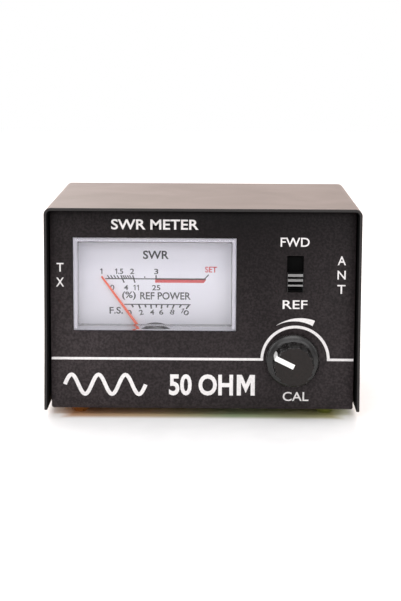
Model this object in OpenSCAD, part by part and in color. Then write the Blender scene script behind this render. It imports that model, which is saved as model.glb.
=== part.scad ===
// Standing wave ratio meter: sheet metal case, moving coil meter, slide switch, level knob
// and two coaxial sockets. X runs to the right seen from the front, Y to the back, Z up.

/* [Case] */
// Outer width of the cover
case_w = 100; // [80:1:140]
// Depth of the cover, front edge to rear edge
case_d = 80; // [60:1:110]
// Height of the cover's side walls
cover_h = 65; // [50:1:90]
// Sheet thickness of cover and chassis
sheet = 1; // [0.6:0.1:1.6]
// Outside radius of the cover's long edges
cover_r = 2.2; // [1:0.1:5]
// Height of the pressed feet under the chassis
foot_h = 2.3; // [1:0.1:4]
// How far the front panel sits behind the cover's front edge
front_recess = 5; // [2:0.5:10]
// How far the rear panel sits inside the cover's rear edge
rear_recess = 3; // [1:0.5:8]

/* [Meter] */
// Width of the meter's raised window
window_w = 51.5; // [40:0.5:60]
// Height of the meter's raised window
window_h = 29.5; // [20:0.1:40]
// Centre of the window, left or right of the case centre
window_x = -15.3; // [-20:0.1:0]
// Centre of the window above the table
window_z = 42.6; // [35:0.1:50]
// Pivot of the needle, left or right of the case centre
pivot_x = -15.2; // [-20:0.1:0]
// Pivot height above the table
pivot_z = 19.9; // [18:0.1:26]
// Needle length from the pivot
needle_len = 30.1; // [20:0.1:34]
// Needle swing to each side of upright
needle_half_swing = 35.7; // [20:0.1:50]

/* [Switch] */
// Centre of the slot, left or right of the case centre
switch_x = 29.4; // [20:0.1:40]
// Centre of the slot above the table
switch_z = 46.2; // [30:0.1:55]
// Slot width
slot_w = 5.3; // [4:0.1:8]
// Slot height
slot_h = 11.7; // [8:0.1:16]
// Height of the button's finger face
button_h = 6.3; // [4:0.1:9]
// How far the button stands out of the panel
button_out = 1.7; // [1:0.1:4]

/* [Knob] */
// Shaft axis, left or right of the case centre
knob_x = 28.9; // [20:0.1:40]
// Shaft axis above the table
knob_z = 18.45; // [12:0.05:30]
// Skirt diameter
skirt_d = 17.1; // [12:0.1:24]
// Cap diameter
cap_d = 13; // [8:0.1:18]
// How far the cap stands out of the panel
knob_out = 11.7; // [8:0.1:18]
// Number of finger flutes
flutes = 14; // [8:1:24]
// Direction of the pointer line, clockwise from upright
knob_angle = -64; // [-150:1:150]

/* [Sockets] */
// Distance of each socket from the case centre
socket_x = 27; // [18:0.5:35]
// Height of the sockets above the table
socket_z = 35; // [25:0.5:45]
// Outer diameter of the threaded barrel
barrel_d = 15.8; // [15:0.1:16]
// Length of the barrel beyond its flange
barrel_len = 15.5; // [12:0.5:18]

/* [Hidden] */
$fn = 64;
cover_bottom = foot_h + 0.2;
cover_top = cover_bottom + cover_h;
socket_flange = 2;
// The barrel's neck, where it passes through its flange and the rear panel
neck_r = 7.6;
// The Y position of the cover's front edge puts the origin midway between knob cap and sockets
knob_nose = knob_out - front_recess;
barrel_end = socket_flange + barrel_len;
// Depth of the round mouth that takes a plug's nose
mouth_depth = 6.5;
rear_out = case_d - rear_recess + barrel_end;
front_y = (knob_nose - rear_out) / 2;
// Depths below are measured back from the cover's front edge
plate_t = 0.5;
plate_y = front_recess;
panel_y = plate_y + plate_t;
panel_back = panel_y + sheet;
rear_out_y = case_d - rear_recess;
rear_in_y = rear_out_y - sheet;
chassis_w = case_w - 2 * sheet - 1;
panel_top = cover_top - sheet - 0.5;
base_top = foot_h + sheet;
// Side lugs that the cover screws hold
lug_h = 12;
lug_y = [12, 70];
screw_y = [26, 60];
screw_z = foot_h + 7.5;
foot_x = 39.7;
foot_y = [11.5, 68.5];
foot_r = 2.2;
foot_top_r = 4.2;
// Meter stack
lens_face_y = plate_y - 1;
lens_t = 1.3;
lens_bevel = 0.5;
gasket_t = 0.5;
lens_flange_y = panel_back + gasket_t;
lens_back = lens_flange_y + 1.4;
meter_half_w = 28;
meter_bottom = pivot_z - 13.2;
meter_top = window_z + window_h / 2 + 1.9;
tray_floor_y = lens_back + 4.2;
tray_back = tray_floor_y + 1.4;
tray_wall = 1.5;
cup_r = 12.8;
cup_in_r = 11.6;
cup_floor_y = tray_back + 11.6;
cup_back = cup_floor_y + 1.4;
dial_t = 0.5;
dial_hole_r = 8.9;
bridge_y = lens_back + 0.4;
bridge_t = 0.8;
hub_y = lens_back + 2;
coil_y = tray_floor_y + 0.8;
coil_len = 10.2;
coil_end = coil_y + coil_len;
yoke_y = coil_y + 1.6;
yoke_len = 7;
yoke_r = 10.5;
yoke_in_r = 7.6;
core_r = 4.6;
rear_bridge_y = coil_end + 0.8;
pivot_r = 0.4;
jewel_r = 0.45;
// Switch stack
frame_t = 0.6;
carriage_y = panel_back + frame_t + 0.3;
carriage_half = 7.9;
button_w = 5;
travel = slot_h - button_h - 0.4;
button_z = switch_z - slot_h / 2 + 0.2 + button_h / 2;
switch_back = panel_back + 6;
// Potentiometer stack
pot_r = 8;
pot_len = 8;
pot_back = panel_back + pot_len;
bushing_r = 3.5;
shaft_r = 3;
knob_back = plate_y - 0.6;
knob_front = -knob_nose;
// The knob is hollow behind, over the nut and the bushing's end
knob_hollow_y = knob_back - 2.6;
bushing_front = knob_hollow_y + 0.4;
nut_t = 2;
washer_t = 0.4;
// Boards
board_t = 1.6;
control_y = panel_back + 9.5;
coupler_y = rear_out_y - 15;
coupler_w = 84;
coupler_h = 34;
hole_pitch = 9.1;
flange_w = 25.4;
screw_r = 1.45;
screw_hole_r = 1.6;

// Points along an arc, for outlines
function arc(cx, cy, r, from, to, steps = 10) =
    [for (i = [0:steps]) let (a = from + (to - from) * i / steps) [cx + r * cos(a), cy + r * sin(a)]];

// Moves children from depths behind the cover's front edge to the shared frame
module case_frame() {
    translate([0, front_y, 0]) children();
}

// Extrudes an X-Z outline between two depths
module between_y(y0, y1) {
    translate([0, y1, 0]) rotate([90, 0, 0]) linear_extrude(y1 - y0) children();
}

// Extrudes a Y-Z outline between two X positions
module between_x(x0, x1) {
    translate([x0, 0, 0]) rotate([90, 0, 90]) linear_extrude(x1 - x0) children();
}

// Cylinder along Y at a place on the panel
module rod_y(r, y0, y1, x = 0, z = 0, sides = 64) {
    translate([x, y0, z]) rotate([-90, 0, 0]) cylinder(r = r, h = y1 - y0, $fn = sides);
}

// Block given by its lowest and highest corners
module block(low, high) {
    translate(low) cube(high - low);
}

// Rectangle outline centred on a point
module window_outline(w, h, x, z) {
    translate([x - w / 2, z - h / 2]) square([w, h]);
}

// The four fixing places of one socket
module at_socket_holes(side, which = [-1, 1]) {
    for (dx = which) for (dz = [-1, 1])
        translate([side * socket_x + dx * side * hole_pitch, 0, socket_z + dz * hole_pitch])
            children();
}

// Openings that chassis front and faceplate share, with a margin on the window
module panel_openings(margin) {
    window_outline(window_w + 2 * margin, window_h + 2 * margin, window_x, window_z);
    window_outline(slot_w, slot_h, switch_x, switch_z);
    translate([knob_x, knob_z]) circle(r = bushing_r + 0.1);
}

// ---- Case ----

module chassis_section() {
    bend = 1.2;
    inner = 0.4;
    polygon(concat(
        [[panel_y, panel_top]],
        arc(panel_y + bend, foot_h + bend, bend, 180, 270),
        arc(rear_out_y - bend, foot_h + bend, bend, 270, 360),
        [[rear_out_y, panel_top], [rear_in_y, panel_top]],
        arc(rear_in_y - inner, base_top + inner, inner, 0, -90),
        arc(panel_back + inner, base_top + inner, inner, -90, -180),
        [[panel_back, panel_top]]
    ));
}

module pressed_foot(x, y) {
    translate([x, y, 0]) difference() {
        rotate_extrude()
            polygon([[0, 0], [foot_r, 0], [foot_top_r, foot_h], [foot_top_r, base_top], [0, base_top]]);
        rotate_extrude()
            polygon([
                [0, sheet], [foot_r - 0.4, sheet], [foot_top_r - 0.8, base_top + 0.1],
                [0, base_top + 0.1]
            ]);
    }
}

module side_lug(side) {
    outer = chassis_w / 2;
    translate([0, lug_y[1], 0]) rotate([90, 0, 0]) linear_extrude(lug_y[1] - lug_y[0])
        scale_side(side)
            polygon(concat(
                [[outer - 4, foot_h]],
                arc(outer - 1.2, foot_h + 1.2, 1.2, 270, 360),
                [[outer, foot_h + lug_h], [outer - sheet, foot_h + lug_h]],
                [[outer - sheet, base_top], [outer - 4, base_top]]
            ));
}

module scale_side(side) {
    if (side < 0) mirror([1, 0]) children();
    else children();
}

module chassis() {
    color([0.72, 0.60, 0.30]) case_frame() difference() {
        union() {
            difference() {
                between_x(-chassis_w / 2, chassis_w / 2) chassis_section();
                // Corners of the folded sheet are cut away beside the two lugs
                for (side = [-1, 1])
                    block([side * chassis_w / 2 - 1.4, lug_y[0] - 0.4, foot_h - 1],
                          [side * chassis_w / 2 + 1.4, lug_y[1] + 0.4, base_top + 0.4]);
                for (x = [-foot_x, foot_x]) for (y = foot_y)
                    translate([x, y, foot_h - 1]) cylinder(r = foot_top_r - 0.2, h = sheet + 2);
            }
            for (side = [-1, 1]) side_lug(side);
            for (x = [-foot_x, foot_x]) for (y = foot_y) pressed_foot(x, y);
        }
        between_y(panel_y - 1, panel_back + 1) panel_openings(0.5);
        for (side = [-1, 1]) {
            rod_y(7.9, rear_in_y - 1, rear_out_y + 1, side * socket_x, socket_z);
            at_socket_holes(side) rod_y(screw_hole_r, rear_in_y - 1, rear_out_y + 1);
            for (y = screw_y) translate([side * chassis_w / 2 - 3, y, screw_z])
                rotate([0, 90, 0]) cylinder(r = 1.5, h = 6);
        }
    }
}

module cover() {
    half = case_w / 2;
    inner_r = cover_r - sheet;
    color([0.10, 0.10, 0.10]) case_frame() difference() {
        between_y(0, case_d) polygon(concat(
            [[half, cover_bottom]],
            arc(half - cover_r, cover_top - cover_r, cover_r, 0, 90),
            arc(cover_r - half, cover_top - cover_r, cover_r, 90, 180),
            [[-half, cover_bottom], [sheet - half, cover_bottom]],
            arc(cover_r - half, cover_top - cover_r, inner_r, 180, 90),
            arc(half - cover_r, cover_top - cover_r, inner_r, 90, 0),
            [[half - sheet, cover_bottom]]
        ));
        for (y = screw_y) translate([-half - 1, y, screw_z])
            rotate([0, 90, 0]) cylinder(r = screw_hole_r, h = case_w + 2);
    }
}

module faceplate() {
    half = chassis_w / 2;
    corner = 0.7;
    color([0.09, 0.09, 0.09]) case_frame() between_y(plate_y, panel_y) difference() {
        polygon(concat(
            [[half, panel_top], [-half, panel_top]],
            arc(corner - half, foot_h + corner, corner, 180, 270),
            arc(half - corner, foot_h + corner, corner, 270, 360)
        ));
        panel_openings(0.2);
    }
}

// A pan-head screw along +X with its seat at the origin
module pan_screw(head_r, head_h, shank_r, shank_len) {
    difference() {
        rotate([0, 90, 0]) rotate_extrude() polygon(concat(
            [[0, -shank_len], [shank_r, -shank_len], [shank_r, 0], [head_r, 0]],
            arc(head_r - 0.8, head_h - 0.8, 0.8, 0, 90, 6),
            [[0, head_h]]
        ));
        for (turn = [0, 90]) rotate([turn, 0, 0])
            block([head_h - 1.1, -1.7, -0.3], [head_h + 1, 1.7, 0.3]);
    }
}

module cover_screws() {
    color([0.62, 0.60, 0.56]) case_frame() for (y = screw_y) {
        translate([case_w / 2, y, screw_z]) pan_screw(2.7, 1.6, screw_r, 4);
        translate([-case_w / 2, y, screw_z]) rotate([0, 0, 180]) pan_screw(2.7, 1.6, screw_r, 4);
    }
}

// ---- Sockets ----

// Moves children to one socket's axis, at the back face of the rear panel
module socket_frame(side) {
    case_frame() translate([side * socket_x, rear_out_y, socket_z]) children();
}

module socket_plate(side) {
    color([0.76, 0.76, 0.74]) socket_frame(side) between_y(0, socket_flange) difference() {
        window_outline(flange_w, flange_w, 0, 0);
        circle(r = neck_r);
        for (dx = [-1, 1]) for (dz = [-1, 1])
            translate([dx * hole_pitch, dz * hole_pitch]) circle(r = screw_hole_r);
    }
}

module barrel(side) {
    color([0.76, 0.76, 0.74]) socket_frame(side) difference() {
        union() {
            rod_y(barrel_d / 2, socket_flange, barrel_end);
            rod_y(neck_r, -6, socket_flange + 0.5);
        }
        rod_y(6, barrel_end - mouth_depth, barrel_end + 1);
        rod_y(5.2, -7, barrel_end);
    }
}

module insulator(side) {
    color([0.93, 0.92, 0.88]) socket_frame(side) difference() {
        rod_y(5.2, -8, barrel_end - mouth_depth);
        rod_y(2.9, -9, barrel_end);
    }
}

module contact(side) {
    front = barrel_end - mouth_depth;
    color([0.80, 0.70, 0.42]) socket_frame(side) difference() {
        union() {
            rod_y(2.9, -8, front);
            rod_y(1.6, -16.2, -7);
        }
        rod_y(2, front - 10, front + 1);
        for (turn = [0, 90]) rotate([0, turn, 0])
            block([-0.25, front - 5, -4], [0.25, front + 1, 4]);
    }
}

module tx_flange() { socket_plate(-1); }
module tx_barrel() { barrel(-1); }
module tx_insulator() { insulator(-1); }
module tx_contact() { contact(-1); }
module ant_flange() { socket_plate(1); }
module ant_barrel() { barrel(1); }
module ant_insulator() { insulator(1); }
module ant_contact() { contact(1); }

module socket_screws() {
    color([0.70, 0.70, 0.70]) case_frame() for (side = [-1, 1])
        translate([0, rear_out_y + socket_flange, 0]) at_socket_holes(side)
            rotate([0, 0, 90]) pan_screw(2.7, 1.9, screw_r, 7.5);
}

module socket_nuts() {
    color([0.70, 0.70, 0.70]) case_frame() for (side = [-1, 1]) at_socket_holes(side, [-1])
        difference() {
            rod_y(3.15, rear_in_y - 2.4, rear_in_y, sides = 6);
            rod_y(1.5, rear_in_y - 3, rear_in_y + 1);
        }
}

// ---- Coupler ----

module coupler_board() {
    color([0.20, 0.42, 0.22]) case_frame() between_y(coupler_y, coupler_y + board_t) difference() {
        window_outline(coupler_w, coupler_h, 0, socket_z);
        for (side = [-1, 1]) {
            translate([side * socket_x, socket_z]) circle(r = 1.7);
            for (dz = [-1, 1])
                translate([side * (socket_x + hole_pitch), socket_z + dz * hole_pitch])
                    circle(r = screw_hole_r);
        }
    }
}

module coupler_line() {
    color([0.80, 0.50, 0.28]) case_frame() between_y(coupler_y - 0.3, coupler_y) difference() {
        window_outline(2 * socket_x + 6, 4.4, 0, socket_z);
        for (side = [-1, 1]) translate([side * socket_x, socket_z]) circle(r = 1.65);
    }
}

module sense_lines() {
    color([0.80, 0.50, 0.28]) case_frame() for (dz = [-5, 5])
        between_y(coupler_y - 0.3, coupler_y) window_outline(28, 1.6, 0, socket_z + dz);
}

module board_spacers() {
    color([0.78, 0.66, 0.36]) case_frame() for (side = [-1, 1]) at_socket_holes(side, [1])
        difference() {
            rod_y(3.1, coupler_y + board_t, rear_in_y, sides = 6);
            rod_y(1.5, coupler_y, coupler_y + board_t + 5);
            rod_y(1.5, rear_in_y - 7, rear_in_y + 1);
        }
}

module board_screws() {
    color([0.70, 0.70, 0.70]) case_frame() for (side = [-1, 1])
        translate([0, coupler_y, 0]) at_socket_holes(side, [1])
            rotate([0, 0, -90]) pan_screw(2.7, 1.9, screw_r, 6);
}

// An axial part lying along X in front of the coupler board, with its legs bent to the board
module axial_part(x, z, body_r, body_len, leg_span) {
    y = coupler_y - body_r - 0.8;
    translate([x - body_len / 2, y, z]) rotate([0, 90, 0]) cylinder(r = body_r, h = body_len);
    for (dir = [-1, 1]) {
        inner = dir * body_len / 2;
        outer = dir * leg_span / 2;
        translate([x + min(inner, outer), y, z]) rotate([0, 90, 0])
            cylinder(r = 0.3, h = abs(outer - inner) + 0.3);
        rod_y(0.3, y, coupler_y, x + outer, z);
    }
}

module diodes() {
    color([0.75, 0.35, 0.20]) case_frame() for (dz = [-9, 9])
        axial_part(19, socket_z + dz, 0.9, 4, 8);
}

module load_resistors() {
    color([0.72, 0.60, 0.42]) case_frame() for (dz = [-9, 9])
        axial_part(-17, socket_z + dz, 1.2, 6.4, 11);
}

module bypass_capacitors() {
    color([0.80, 0.52, 0.22]) case_frame() for (dz = [-12, 12]) {
        translate([0, 0, socket_z + dz]) {
            rod_y(0.3, coupler_y - 3, coupler_y, 2, 0);
            rod_y(0.3, coupler_y - 3, coupler_y, -2, 0);
            translate([0, coupler_y - 5, -1]) cylinder(r = 3, h = 2);
        }
    }
}

// ---- Meter ----

module meter_frame() {
    case_frame() translate([pivot_x, 0, pivot_z]) children();
}

module meter_outline(inset = 0) {
    translate([window_x - meter_half_w + inset, meter_bottom + inset])
        square([2 * meter_half_w - 2 * inset, meter_top - meter_bottom - 2 * inset]);
}

module meter_gasket() {
    color([0.12, 0.12, 0.12]) case_frame() between_y(panel_back, lens_flange_y) difference() {
        meter_outline(0.5);
        window_outline(window_w + 1, window_h + 1, window_x, window_z);
    }
}

// The raised window: a block whose front edges are bevelled on all four sides
module raised_window() {
    shoulder_y = lens_face_y + lens_bevel;
    left = window_x - window_w / 2;
    right = window_x + window_w / 2;
    low = window_z - window_h / 2;
    high = window_z + window_h / 2;
    intersection() {
        translate([0, 0, low]) linear_extrude(window_h) polygon([
            [left, lens_back], [left, shoulder_y], [left + lens_bevel, lens_face_y],
            [right - lens_bevel, lens_face_y], [right, shoulder_y], [right, lens_back]
        ]);
        between_x(left, right) polygon([
            [lens_back, low], [shoulder_y, low], [lens_face_y, low + lens_bevel],
            [lens_face_y, high - lens_bevel], [shoulder_y, high], [lens_back, high]
        ]);
    }
}

module meter_lens() {
    color([0.85, 0.87, 0.92, 0.35]) case_frame() difference() {
        union() {
            raised_window();
            between_y(lens_flange_y, lens_back) meter_outline();
        }
        between_y(lens_face_y + lens_t, lens_back + 1)
            window_outline(window_w - 2 * lens_t, window_h - 2 * lens_t, window_x, window_z);
    }
}

module meter_housing() {
    color([0.86, 0.86, 0.85]) difference() {
        union() {
            case_frame() between_y(lens_back, tray_back) meter_outline();
            meter_frame() rod_y(cup_r, tray_back - 0.5, cup_back);
        }
        case_frame() between_y(lens_back - 1, tray_floor_y) meter_outline(tray_wall);
        meter_frame() rod_y(cup_in_r, tray_floor_y - 1, cup_floor_y);
        meter_frame() for (x = [-5, 5]) rod_y(1.5, cup_floor_y - 1, cup_back + 1, x, -7.5);
    }
}

module meter_dial() {
    color([0.83, 0.82, 0.85]) case_frame() between_y(tray_floor_y - dial_t, tray_floor_y)
        difference() {
            meter_outline(tray_wall + 0.2);
            translate([pivot_x, pivot_z]) circle(r = dial_hole_r);
            translate([pivot_x - 11.3, pivot_z - 11.3]) square([22.6, 14.3]);
        }
}

// Turns a moving piece of the meter to where the needle rests
module needle_turn() {
    meter_frame() rotate([0, -needle_half_swing, 0]) children();
}

module meter_pointer() {
    y0 = hub_y + 0.3;
    y1 = hub_y + 0.7;
    color([0.93, 0.33, 0.20]) needle_turn() difference() {
        union() {
            rod_y(1.5, hub_y, hub_y + 1);
            between_y(y0, y1)
                polygon([[-0.5, 0], [0.5, 0], [0.28, needle_len], [-0.28, needle_len]]);
            between_y(y0, y1) polygon([[-0.45, 0], [-0.45, -5], [0.45, -5], [0.45, 0]]);
            between_y(y0, y1) translate([-3.4, -0.4]) square([6.8, 0.8]);
            rod_y(0.9, hub_y, hub_y + 1, 0, -4.6);
            for (x = [-3.2, 3.2]) rod_y(0.7, hub_y, hub_y + 1, x, 0);
        }
        rod_y(pivot_r, hub_y - 1, hub_y + 2);
    }
}

module meter_coil() {
    color([0.70, 0.38, 0.20]) needle_turn() difference() {
        block([-6.2, coil_y, -1.2], [6.2, coil_end, 1.2]);
        block([-5.2, coil_y + 0.8, -2], [5.2, coil_end - 0.8, 2]);
    }
}

module coil_pivots() {
    color([0.78, 0.78, 0.80]) needle_turn() {
        rod_y(pivot_r, bridge_y + 0.55, coil_y);
        rod_y(pivot_r, coil_end, rear_bridge_y + 0.5);
    }
}

module magnet_core() {
    color([0.45, 0.45, 0.47]) meter_frame() rod_y(core_r, yoke_y - 0.3, yoke_y + yoke_len + 0.3);
}

module core_mount() {
    color([0.78, 0.72, 0.58]) meter_frame() for (dir = [-1, 1]) difference() {
        intersection() {
            block([-1.8, yoke_y + 1, min(0, dir * 9)], [1.8, yoke_y + 6, max(0, dir * 9)]);
            rod_y(yoke_in_r, yoke_y, yoke_y + yoke_len);
        }
        rod_y(core_r, yoke_y - 1, yoke_y + yoke_len + 1);
    }
}

module yoke_ring() {
    color([0.55, 0.55, 0.56]) meter_frame() difference() {
        rod_y(yoke_r, yoke_y, yoke_y + yoke_len);
        rod_y(yoke_in_r, yoke_y - 1, yoke_y + yoke_len + 1);
    }
}

// A bearing bridge: a bar across the pivot on two posts that stand on the yoke
module bearing_bridge(bar_y, post_y0, post_y1) {
    color([0.80, 0.76, 0.66]) meter_frame() difference() {
        union() {
            block([-10, bar_y, -2.2], [10, bar_y + bridge_t, 2.2]);
            for (x = [-9, 9]) rod_y(0.9, post_y0, post_y1, x, 0);
        }
        rod_y(1.2, bar_y - 1, bar_y + bridge_t + 1);
    }
}

module front_bridge() { bearing_bridge(bridge_y, bridge_y + 0.3, yoke_y); }
module rear_bridge() { bearing_bridge(rear_bridge_y, yoke_y + yoke_len, rear_bridge_y + 0.3); }

module jewel_screws() {
    color([0.80, 0.68, 0.40]) meter_frame() {
        difference() {
            rod_y(1.2, bridge_y - 0.15, bridge_y + bridge_t + 0.2);
            rod_y(jewel_r, bridge_y + 0.5, bridge_y + bridge_t + 1);
        }
        difference() {
            rod_y(1.2, rear_bridge_y - 0.2, rear_bridge_y + bridge_t + 0.15);
            rod_y(jewel_r, rear_bridge_y - 1, rear_bridge_y + 0.6);
        }
    }
}

// A flat spiral of ribbon, as one outline out along the spiral and back
module spiral_spring(y0, turns, r0, r1) {
    steps = 24 * turns;
    ribbon = 0.14;
    spiral = [for (i = [0:steps]) let (a = 360 * i / 24, r = r0 + (r1 - r0) * i / steps) [r, a]];
    between_y(y0, y0 + 0.4) polygon(concat(
        [for (p = spiral) [p[0] * cos(p[1]), p[0] * sin(p[1])]],
        [for (i = [steps:-1:0]) let (p = spiral[i]) [(p[0] + ribbon) * cos(p[1]), (p[0] + ribbon) * sin(p[1])]]
    ));
}

module hairsprings() {
    color([0.76, 0.60, 0.32]) meter_frame() {
        spiral_spring(hub_y + 1.2, 4, 0.6, 3.2);
        spiral_spring(coil_end + 0.2, 4, 0.6, 3.2);
    }
}

module meter_terminals() {
    color([0.80, 0.68, 0.40]) meter_frame() for (x = [-5, 5]) {
        rod_y(1.5, cup_floor_y - 0.6, cup_back + 3.5, x, -7.5);
        rod_y(2.6, cup_back, cup_back + 1.2, x, -7.5, 6);
    }
}

// ---- Switch ----

module switch_frame() {
    half_w = 4.4;
    low = button_z - carriage_half - 0.8;
    high = button_z + travel + carriage_half + 0.8;
    color([0.74, 0.74, 0.72]) case_frame() translate([switch_x, 0, 0]) difference() {
        block([-half_w, panel_back, low], [half_w, switch_back, high]);
        block([-half_w + frame_t, panel_back + frame_t, low + frame_t],
              [half_w - frame_t, switch_back + 1, high - frame_t]);
        between_y(panel_back - 1, panel_back + 2) window_outline(slot_w, slot_h, 0, switch_z);
    }
}

module switch_pins(grow) {
    for (x = [-2, 2]) for (dz = [-4.5, 0, 4.5])
        block([switch_x + x - 0.3 - grow, switch_back - 1.8, switch_z + dz - 0.6 - grow],
              [switch_x + x + 0.3 + grow, control_y + board_t + 1, switch_z + dz + 0.6 + grow]);
}

module switch_base() {
    low = button_z - carriage_half - 0.1;
    high = button_z + travel + carriage_half + 0.1;
    color([0.62, 0.42, 0.24]) case_frame() difference() {
        block([switch_x - 3.7, switch_back - 1.5, low], [switch_x + 3.7, switch_back, high]);
        switch_pins(0.02);
    }
}

module switch_terminals() {
    color([0.80, 0.78, 0.72]) case_frame() switch_pins(0);
}

module switch_button() {
    color([0.11, 0.11, 0.11]) case_frame() translate([switch_x, 0, button_z]) {
        difference() {
            union() {
                block([-button_w / 2, plate_y - button_out, -button_h / 2],
                      [button_w / 2, carriage_y + 0.5, button_h / 2]);
                block([-3.5, carriage_y, -carriage_half], [3.5, carriage_y + 1.7, carriage_half]);
            }
            // Grip ridges are what is left between four shallow grooves
            for (i = [-1.5:1:1.5])
                block([-3, plate_y - button_out - 1, i * 1.6 - 0.45],
                      [3, plate_y - button_out + 0.4, i * 1.6 + 0.45]);
        }
    }
}

module switch_slider() {
    color([0.80, 0.70, 0.45]) case_frame() translate([switch_x, 0, button_z])
        for (x = [-2, 2])
            block([x - 0.8, carriage_y + 1.7, -3.4], [x + 0.8, carriage_y + 2.2, 3.4]);
}

// ---- Level potentiometer and knob ----

module pot_frame() {
    case_frame() translate([knob_x, 0, knob_z]) children();
}

module pot_pins(grow) {
    for (x = [-5, 0, 5]) rod_y(0.5 + grow, pot_back - 1.3, control_y + board_t + 1, x, -3);
}

module pot_housing() {
    color([0.70, 0.70, 0.70]) pot_frame() difference() {
        rod_y(pot_r, panel_back, pot_back);
        rod_y(pot_r - 0.8, panel_back + 1.2, pot_back - 0.8);
        rod_y(bushing_r, panel_back - 1, panel_back + 2);
        pot_pins(0.05);
    }
}

module pot_bushing() {
    color([0.78, 0.68, 0.42]) pot_frame() difference() {
        rod_y(bushing_r, bushing_front, panel_back + 1.2);
        rod_y(shaft_r + 0.05, 0, panel_back + 2);
    }
}

module pot_washer() {
    color([0.74, 0.74, 0.74]) pot_frame() difference() {
        rod_y(6, plate_y - washer_t, plate_y);
        rod_y(bushing_r + 0.1, plate_y - 1, plate_y + 1);
    }
}

module pot_nut() {
    color([0.74, 0.74, 0.74]) pot_frame() difference() {
        rod_y(5.7, plate_y - washer_t - nut_t, plate_y - washer_t, sides = 6);
        rod_y(bushing_r + 0.05, 0, plate_y);
    }
}

module pot_element() {
    color([0.30, 0.26, 0.22]) pot_frame() difference() {
        rod_y(7.1, pot_back - 2.3, pot_back - 1.3);
        rod_y(3.6, pot_back - 3, pot_back);
    }
}

module pot_terminals() {
    color([0.80, 0.78, 0.72]) pot_frame() pot_pins(0);
}

module pot_shaft() {
    color([0.78, 0.78, 0.78]) pot_frame() rod_y(shaft_r, knob_front + 2.2, pot_back - 3.4);
}

module pot_wiper() {
    color([0.80, 0.72, 0.50]) pot_frame() rotate([0, knob_angle, 0]) {
        rod_y(3.4, pot_back - 3.4, pot_back - 2.9);
        block([-0.8, pot_back - 3.4, 3], [0.8, pot_back - 2.9, 6]);
    }
}

// Outline of the knob: radius against distance in front of the cover's front edge
module knob_solid() {
    cap_r = cap_d / 2;
    skirt_r = skirt_d / 2;
    edge = 0.6;
    difference() {
        rotate([90, 0, 0]) rotate_extrude() polygon(concat(
            [[0, -knob_back], [skirt_r, -knob_back], [skirt_r, -knob_back + 1.5]],
            [[skirt_r - 0.5, -knob_back + 2], [cap_r + 0.5, -knob_back + 2.8]],
            arc(cap_r - edge, -knob_front - edge, edge, 0, 90, 6),
            [[0, -knob_front]]
        ));
        for (i = [0:flutes - 1]) rotate([0, i * 360 / flutes, 0])
            rod_y(1.6, knob_front - 1, knob_back - 2.9, 0, cap_r + 1.15);
        rod_y(6.4, knob_hollow_y, knob_back + 1);
        rod_y(shaft_r + 0.02, knob_front + 2, knob_back);
    }
}

// The volume of the white line: across the cap to the rim, and down the side to the skirt
module line_bar(grow) {
    cap_r = cap_d / 2;
    half = 0.7 + grow;
    block([-half, knob_front - 1, 0], [half, knob_front + 0.5 + grow, cap_r + 3]);
    block([-half, knob_front - 1, cap_r - 0.5 - grow], [half, knob_back - 2.8, cap_r + 3]);
}

module knob() {
    color([0.10, 0.10, 0.10]) pot_frame() difference() {
        knob_solid();
        rotate([0, knob_angle, 0]) line_bar(0);
    }
}

module knob_pointer() {
    color([0.94, 0.94, 0.94]) pot_frame() intersection() {
        knob_solid();
        rotate([0, knob_angle, 0]) line_bar(0);
    }
}

// ---- Control board and wires ----

module control_board() {
    color([0.62, 0.50, 0.30]) case_frame() difference() {
        block([19, control_y, 9], [40, control_y + board_t, 59]);
        switch_pins(0.03);
        translate([knob_x, 0, knob_z]) pot_pins(0.05);
    }
}

function bezier(p, t) =
    pow(1 - t, 3) * p[0] + 3 * t * pow(1 - t, 2) * p[1] + 3 * t * t * (1 - t) * p[2] + pow(t, 3) * p[3];
function unit(v) = v / norm(v);

// A wire along a cubic curve from p[0] to p[3]
module wire(p, r = 0.6, steps = 20, sides = 8) {
    path = [for (i = [0:steps]) bezier(p, i / steps)];
    points = [for (i = [0:steps]) let (
        ahead = unit(path[min(i + 1, steps)] - path[max(i - 1, 0)]),
        right = unit(cross(ahead, [0, 0, 1])),
        up = cross(right, ahead)
    ) for (k = [0:sides - 1])
        path[i] + r * (cos(360 * k / sides) * right + sin(360 * k / sides) * up)];
    ends = [[for (k = [0:sides - 1]) k], [for (k = [sides - 1:-1:0]) steps * sides + k]];
    walls = [for (i = [0:steps - 1]) for (k = [0:sides - 1]) let (
        a = i * sides + k,
        b = i * sides + (k + 1) % sides
    ) each [[a, b, a + sides], [b, b + sides, a + sides]]];
    polyhedron(points = points, faces = concat(ends, [for (w = walls) [w[2], w[1], w[0]]]));
}

module wires() {
    board_back = control_y + board_t;
    stud_y = cup_back + 3.5;
    stud_z = pivot_z - 7.5;
    color([0.72, 0.20, 0.16]) case_frame() {
        for (i = [0:1]) {
            x = pivot_x + (i == 0 ? -5 : 5);
            wire([[x, stud_y, stud_z], [x, stud_y + 9, stud_z],
                  [21 + 2 * i, board_back + 14, 29 + 3 * i], [21 + 2 * i, board_back, 29 + 3 * i]]);
        }
        for (i = [0:2]) {
            x = -10 + 8 * i;
            wire([[34 + 2 * i, board_back, 11], [34 + 2 * i, board_back + 22, 4],
                  [x, coupler_y - 24, 4], [x, coupler_y - 0.6, 20]]);
        }
    }
}

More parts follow.
